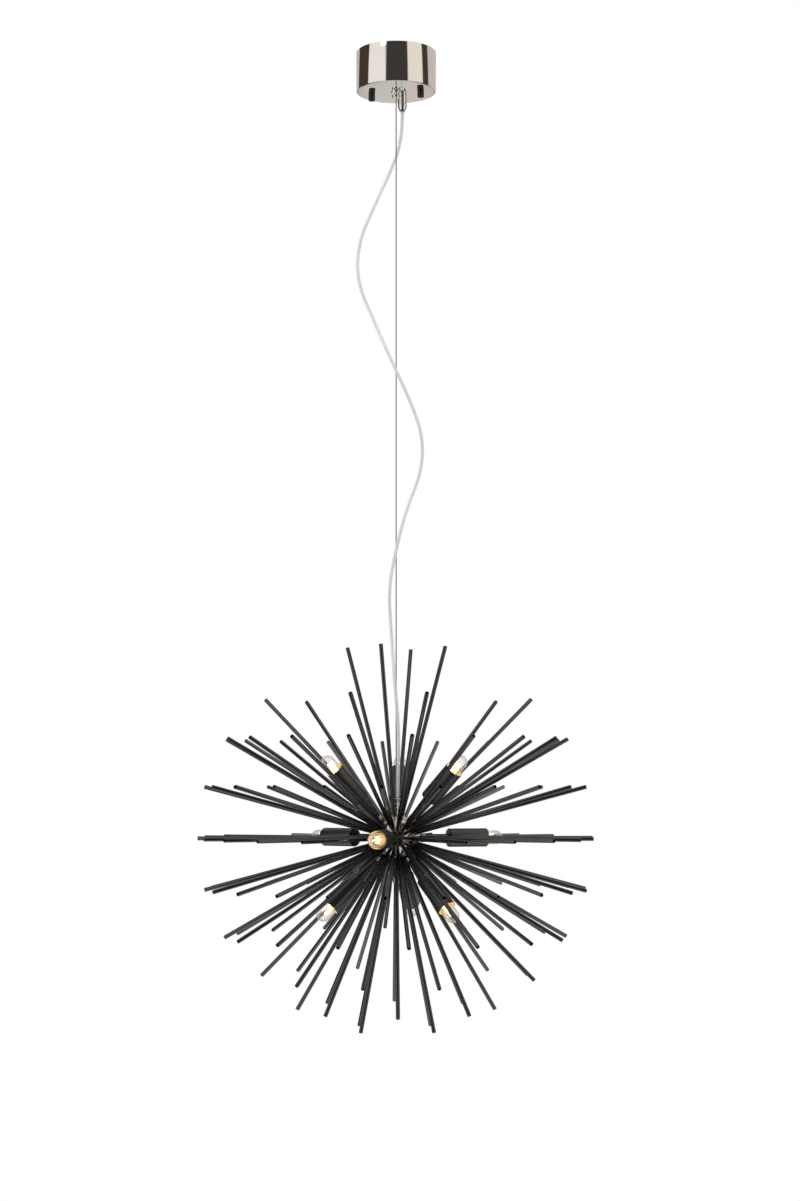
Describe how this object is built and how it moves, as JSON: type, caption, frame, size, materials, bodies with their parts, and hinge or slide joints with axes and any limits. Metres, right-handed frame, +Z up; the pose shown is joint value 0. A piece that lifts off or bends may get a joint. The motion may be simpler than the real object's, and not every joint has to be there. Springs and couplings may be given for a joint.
{
  "type": "sputnik chandelier",
  "caption": "Sputnik chandelier: faceted mirror hub with radiating thin black tubes and cylinder lamps, hung from a round ceiling cup by a steel wire and clear cable.",
  "frame": {"origin": "middle of the ceiling plane, at the top of the ceiling cup, on the wire's axis", "axes": "+Z up towards the ceiling, the light hangs down -Z; the picture is taken from -Y"},
  "size_m": [0.501, 0.501, 1.2371],
  "materials": {
    "zinc_steel": "zinc-plated steel, fine brushed",
    "brass": "turned brass",
    "nickel": "polished nickel",
    "chrome": "polished chrome",
    "spring_steel": "bright spring steel",
    "steel_wire": "stranded steel wire",
    "clear_cable": "clear sheath over grey cores",
    "white_plastic": "moulded",
    "black_knurled": "satin black, knurled",
    "black_chrome": "polished black chrome",
    "centre_tube": "bright steel",
    "black_tube": "gloss black",
    "satin_black": "satin black",
    "holder_black": "moulded black",
    "bulb_glass": "clear",
    "bulb_cap": "rolled screw cap"
  },
  "bodies": {
    "ceiling_fitting": {"ceiling_bracket": "zinc_steel", "bracket_studs": "zinc_steel", "stud_nuts": "zinc_steel", "earth_screw": "brass", "canopy": "nickel", "gripper_body": "chrome", "gripper_cap": "chrome", "gripper_nut": "zinc_steel", "gripper_spring": "spring_steel", "wire_tail": "steel_wire", "cord_grip_body": "chrome", "cord_grip_cap": "chrome", "cord_grip_nut": "zinc_steel", "cable_tail": "clear_cable", "terminal_block": "white_plastic", "terminal_screws": "brass"},
    "plunger": {"gripper_plunger": "chrome", "gripper_balls": "spring_steel"},
    "thumb_nut_left": {"thumb_nut_left": "black_knurled"},
    "thumb_nut_right": {"thumb_nut_right": "black_knurled"},
    "line": {"suspension_wire": "steel_wire", "supply_cable": "clear_cable"},
    "star": {"gland_body": "chrome", "gland_cap": "chrome", "wire_ferrule": "steel_wire", "centre_tube": "centre_tube", "finial": "chrome", "hub_upper": "black_chrome", "hub_ring": "black_chrome", "hub_lower": "black_chrome", "rods_crown_upper": "black_tube", "rods_upper": "black_tube", "rods_equator": "black_tube", "rods_lower": "black_tube", "rods_crown_lower": "black_tube", "lamp_arms": "black_tube", "arm_collars": "black_chrome", "lamp_sleeves_upper": "satin_black", "lamp_sleeves_middle": "satin_black", "lamp_sleeves_lower": "satin_black", "lampholders": "holder_black"},
    "bulb_1": {"bulb_1_cap": "bulb_cap", "bulb_1_glass": "bulb_glass"},
    "bulb_2": {"bulb_2_cap": "bulb_cap", "bulb_2_glass": "bulb_glass"},
    "bulb_3": {"bulb_3_cap": "bulb_cap", "bulb_3_glass": "bulb_glass"},
    "bulb_4": {"bulb_4_cap": "bulb_cap", "bulb_4_glass": "bulb_glass"},
    "bulb_5": {"bulb_5_cap": "bulb_cap", "bulb_5_glass": "bulb_glass"},
    "bulb_6": {"bulb_6_cap": "bulb_cap", "bulb_6_glass": "bulb_glass"},
    "bulb_7": {"bulb_7_cap": "bulb_cap", "bulb_7_glass": "bulb_glass"},
    "bulb_8": {"bulb_8_cap": "bulb_cap", "bulb_8_glass": "bulb_glass"},
    "bulb_9": {"bulb_9_cap": "bulb_cap", "bulb_9_glass": "bulb_glass"}
  },
  "joints": [
    {"name": "gripper_release", "type": "slide", "parent": "ceiling_fitting", "child": "plunger", "axis": [0, 0, 1], "range_m": [0, 0.0025], "stiffness_N_per_m": 500, "springref_m": -0.002, "deforming": ["gripper_spring"]},
    {"name": "thumb_nut_left_turn", "type": "hinge", "parent": "ceiling_fitting", "child": "thumb_nut_left", "pos_m": [-0.03098, 0.00801, -0.05], "axis": [0, 0, 1], "continuous": true},
    {"name": "thumb_nut_right_turn", "type": "hinge", "parent": "ceiling_fitting", "child": "thumb_nut_right", "pos_m": [0.03098, -0.00801, -0.05], "axis": [0, 0, 1], "continuous": true},
    {"name": "pendant_swing", "type": "hinge", "parent": "ceiling_fitting", "child": "line", "pos_m": [0, 0, -0.0572], "axis": [0.2504, 0.9681, 0], "range_deg": [-8, 8]},
    {"name": "star_swivel", "type": "hinge", "parent": "line", "child": "star", "pos_m": [0, 0, -0.9434], "axis": [0, 0, 1], "range_deg": [-90, 90]},
    {"name": "bulb_1_draw", "type": "slide", "parent": "star", "child": "bulb_1", "axis": [0.593, -0.3851, 0.7071], "range_m": [0, 0.024]},
    {"name": "bulb_2_draw", "type": "slide", "parent": "star", "child": "bulb_2", "axis": [0.037, 0.7061, 0.7071], "range_m": [0, 0.024]},
    {"name": "bulb_3_draw", "type": "slide", "parent": "star", "child": "bulb_3", "axis": [-0.63, -0.321, 0.7071], "range_m": [0, 0.024]},
    {"name": "bulb_4_draw", "type": "slide", "parent": "star", "child": "bulb_4", "axis": [0.9455, 0.3256, 0], "range_m": [0, 0.024]},
    {"name": "bulb_5_draw", "type": "slide", "parent": "star", "child": "bulb_5", "axis": [-0.7547, 0.6561, 0], "range_m": [0, 0.024]},
    {"name": "bulb_6_draw", "type": "slide", "parent": "star", "child": "bulb_6", "axis": [-0.1908, -0.9816, 0], "range_m": [0, 0.024]},
    {"name": "bulb_7_draw", "type": "slide", "parent": "star", "child": "bulb_7", "axis": [0.5171, -0.4822, -0.7071], "range_m": [0, 0.024]},
    {"name": "bulb_8_draw", "type": "slide", "parent": "star", "child": "bulb_8", "axis": [0.1591, 0.689, -0.7071], "range_m": [0, 0.024]},
    {"name": "bulb_9_draw", "type": "slide", "parent": "star", "child": "bulb_9", "axis": [-0.6762, -0.2067, -0.7071], "range_m": [0, 0.024]}
  ]
}
